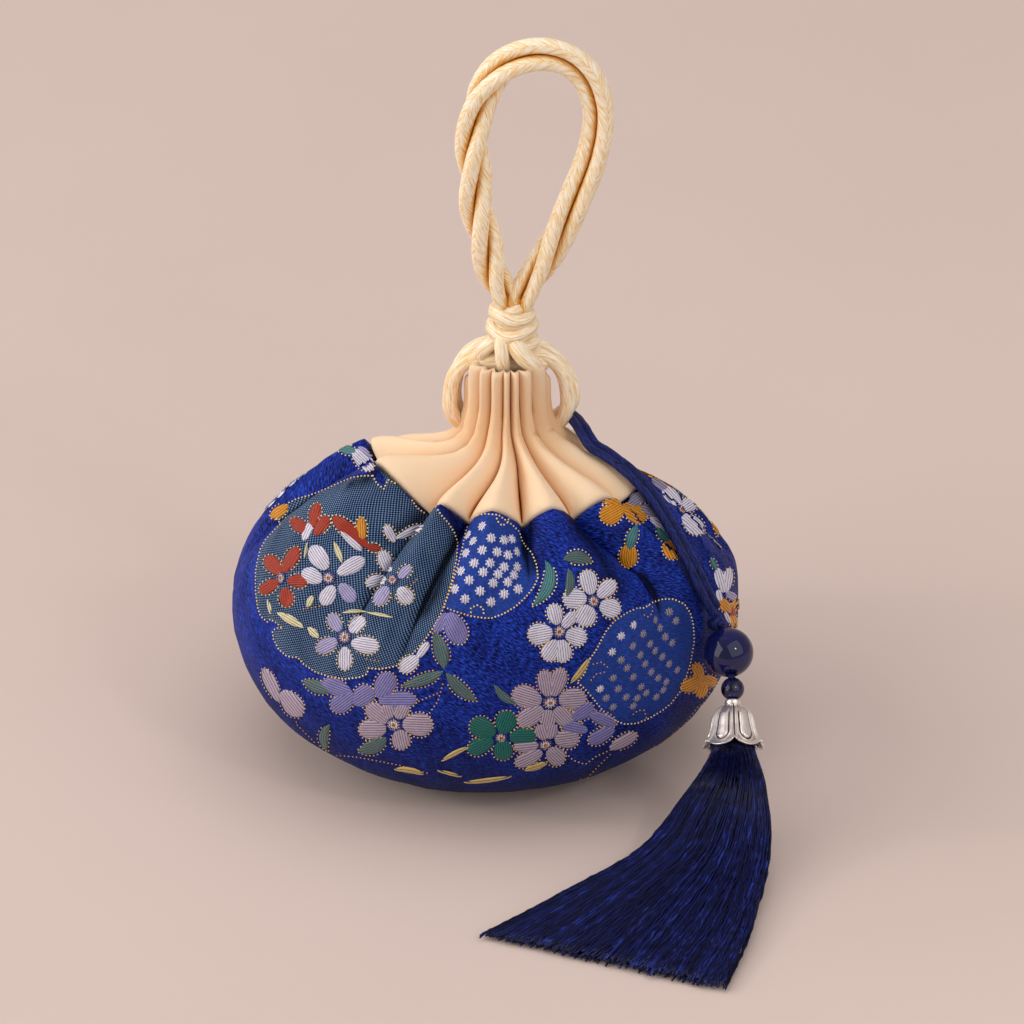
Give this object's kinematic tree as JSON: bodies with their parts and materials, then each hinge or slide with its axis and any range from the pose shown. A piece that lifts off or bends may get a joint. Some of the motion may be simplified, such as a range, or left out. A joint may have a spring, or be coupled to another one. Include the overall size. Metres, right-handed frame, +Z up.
{
  "type": "drawstring pouch",
  "caption": "Round gathered brocade drawstring pouch with a pleated collar, a knotted cord handle and a beaded cord that ends in a tassel.",
  "frame": {"origin": "middle of the flat patch that the pouch rests on", "axes": "+Z up through the neck, -Y the front that the picture shows, +X towards the tassel's side"},
  "size_m": [0.1405, 0.1761, 0.2032],
  "materials": {
    "brocade": "royal blue satin brocade with woven flowers",
    "collar_cloth": "matt cream cotton",
    "satin_cord": "braided cream satin cord",
    "navy_cord": "thin navy braided cord",
    "navy_bead": "polished",
    "dark_bead": "polished",
    "antique_silver": "bright silver with darkened grooves",
    "tassel_silk": "loose navy silk threads"
  },
  "bodies": {
    "pouch": {"pouch_body": "brocade", "neck_collar": "collar_cloth", "handle_strand_1": "satin_cord", "handle_strand_2": "satin_cord", "handle_strand_3": "satin_cord", "draw_cord_left_front": "satin_cord", "draw_cord_left_back": "satin_cord", "draw_cord_right_front": "satin_cord", "draw_cord_right_back": "satin_cord", "cord_knot": "satin_cord", "tassel_stop_knot": "navy_cord", "tassel_cord_1": "navy_cord", "tassel_cord_2": "navy_cord", "tassel_core": "navy_cord", "tassel_binding": "navy_cord", "tassel_skirt": "tassel_silk"},
    "large_bead": {"large_bead": "navy_bead"},
    "small_bead": {"small_bead": "dark_bead"},
    "cap": {"tassel_cap": "antique_silver"}
  },
  "joints": [
    {"name": "large_bead_spin", "type": "hinge", "parent": "pouch", "child": "large_bead", "pos_m": [0.0627, -0.0363, 0.0473], "axis": [0.0931, -0.7115, -0.6965], "continuous": true},
    {"name": "small_bead_spin", "type": "hinge", "parent": "pouch", "child": "small_bead", "pos_m": [0.0636, -0.0432, 0.04054], "axis": [0, -0.6947, -0.7193], "continuous": true},
    {"name": "cap_spin", "type": "hinge", "parent": "pouch", "child": "cap", "pos_m": [0.0636, -0.04525, 0.03842], "axis": [0, -0.6947, -0.7193], "continuous": true}
  ]
}
